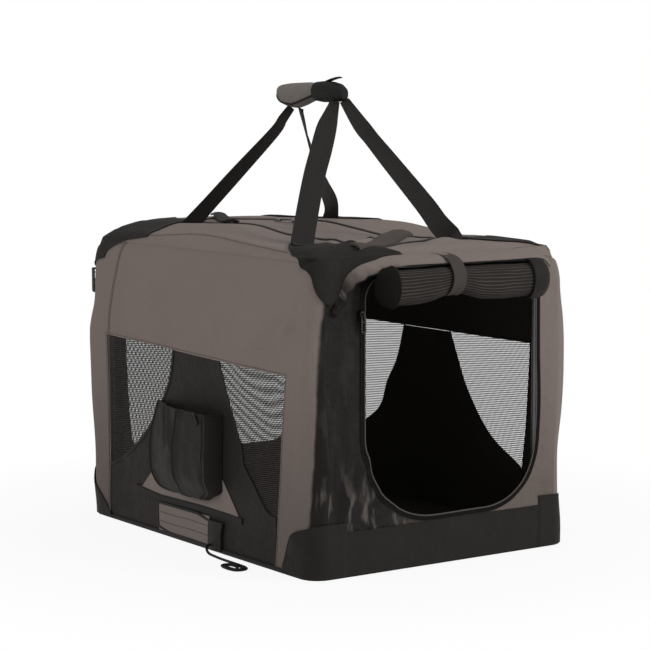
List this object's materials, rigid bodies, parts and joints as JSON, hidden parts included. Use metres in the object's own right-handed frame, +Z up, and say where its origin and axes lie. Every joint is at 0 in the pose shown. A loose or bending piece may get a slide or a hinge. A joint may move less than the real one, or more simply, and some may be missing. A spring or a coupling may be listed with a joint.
{
  "type": "soft folding dog crate",
  "caption": "Soft-sided folding crate for a dog: cloth walls with mesh windows over two folding steel hoops, a rolled-up mesh door and a padded carry handle on top.",
  "frame": {"origin": "middle of the underside of the crate's floor, on the surface that it stands on", "axes": "+Z up; +X to the right along the front, seen from the door; +Y from the door to the rear"},
  "size_m": [0.5817, 0.801, 0.773],
  "materials": {
    "grey_cloth": "warm grey woven polyester, matt",
    "black_cloth": "black coated nylon, slightly shiny",
    "black_mesh": "black knitted mesh",
    "webbing": "black woven webbing",
    "handle_pad": "grey padded cloth with piped edges",
    "cord": "black braided cord",
    "tube_steel": "grey powder-coated steel tube",
    "black_plastic": "black moulded plastic",
    "zip_metal": "dark nickel-plated zip slider",
    "floor_board": "stiff black board"
  },
  "bodies": {
    "root": {"base_ring": "tube_steel", "left_front_bracket": "black_plastic", "left_rear_bracket": "black_plastic", "right_front_bracket": "black_plastic", "right_rear_bracket": "black_plastic", "floor_cloth": "black_cloth", "floor_board": "floor_board", "floor_mat": "black_cloth", "left_wall": "grey_cloth", "right_wall": "grey_cloth", "front_wall": "grey_cloth", "rear_wall": "grey_cloth", "left_flare": "black_cloth", "right_flare": "black_cloth", "left_mesh_front": "black_mesh", "left_mesh_rear": "black_mesh", "right_mesh_front": "black_mesh", "right_mesh_rear": "black_mesh", "rear_mesh_door": "black_mesh", "front_zip_tape": "webbing", "rear_zip_tape": "webbing", "front_band": "black_cloth", "rear_band": "black_cloth", "left_front_cap": "black_cloth", "left_rear_cap": "black_cloth", "right_front_cap": "black_cloth", "right_rear_cap": "black_cloth", "side_pocket": "black_cloth", "pocket_backing": "grey_cloth", "bottom_patch": "grey_cloth", "cord_tab": "black_cloth", "cord": "cord", "cord_hank": "cord", "cord_knot": "cord", "clip_tab": "webbing"},
    "right_hoop": {"right_hoop": "tube_steel"},
    "left_hoop": {"left_hoop": "tube_steel"},
    "roof": {"roof_panel": "grey_cloth", "roof_zip_tape": "webbing", "left_front_top_patch": "black_cloth", "left_rear_top_patch": "black_cloth", "right_front_top_patch": "black_cloth", "right_rear_top_patch": "black_cloth", "front_bar": "tube_steel", "rear_bar": "tube_steel", "door_roll": "black_mesh", "roll_strap": "webbing", "left_rear_strap": "webbing", "left_front_strap": "webbing", "right_front_strap": "webbing", "right_rear_strap": "webbing"},
    "grip": {"grip_pad": "handle_pad", "grip_webbing": "webbing"},
    "front_slider": {"front_slider": "zip_metal"},
    "front_pull": {"front_pull": "zip_metal"},
    "rear_slider": {"rear_slider": "zip_metal"},
    "rear_pull": {"rear_pull": "zip_metal"},
    "clip": {"snap_clip": "black_plastic"},
    "gate": {"clip_gate": "black_plastic"}
  },
  "joints": [
    {"name": "fold", "type": "hinge", "parent": "root", "child": "right_hoop", "pos_m": [0.244, 0, 0.042], "axis": [0, -1, 0], "range_deg": [0, 90]},
    {"name": "left_fold", "type": "hinge", "parent": "root", "child": "left_hoop", "pos_m": [-0.244, 0, 0.072], "axis": [0, 1, 0], "range_deg": [0, 85.5]},
    {"name": "roof_drop", "type": "slide", "parent": "root", "child": "roof", "axis": [0, 0, 1], "range_m": [-0.403, 0], "deforming": ["roof_panel", "roof_zip_tape", "left_front_top_patch", "left_rear_top_patch", "right_front_top_patch", "right_rear_top_patch", "left_wall", "right_wall", "front_wall", "rear_wall", "front_zip_tape", "rear_zip_tape"]},
    {"name": "grip_drop", "type": "slide", "parent": "roof", "child": "grip", "axis": [0, 0, 1], "range_m": [-0.205, 0], "deforming": ["left_rear_strap", "left_front_strap", "right_front_strap", "right_rear_strap"]},
    {"name": "front_zip", "type": "slide", "parent": "root", "child": "front_slider", "axis": [0, 0, 1], "range_m": [-0.17, 0]},
    {"name": "front_pull_swing", "type": "hinge", "parent": "front_slider", "child": "front_pull", "pos_m": [-0.1675, -0.3571, 0.411], "axis": [-1, 0, 0], "range_deg": [0, 150]},
    {"name": "rear_zip", "type": "slide", "parent": "root", "child": "rear_slider", "axis": [0, 0, 1], "range_m": [-0.17, 0]},
    {"name": "rear_pull_swing", "type": "hinge", "parent": "rear_slider", "child": "rear_pull", "pos_m": [0.1795, 0.3571, 0.411], "axis": [1, 0, 0], "range_deg": [0, 150]},
    {"name": "clip_swing", "type": "hinge", "parent": "root", "child": "clip", "pos_m": [-0.231, 0.378, 0.4394], "axis": [1, 0, 0], "range_deg": [-20, 110]},
    {"name": "gate_swing", "type": "hinge", "parent": "clip", "child": "gate", "pos_m": [-0.2241, 0.378, 0.4006], "axis": [0, -1, 0], "range_deg": [0, 20], "stiffness_Nm_per_rad": 0.02}
  ],
  "couplings": [
    {"joint": "left_fold", "follows": "fold", "ratio": 0.95},
    {"joint": "roof_drop", "follows": "fold", "m_per_rad": -0.25656}
  ]
}
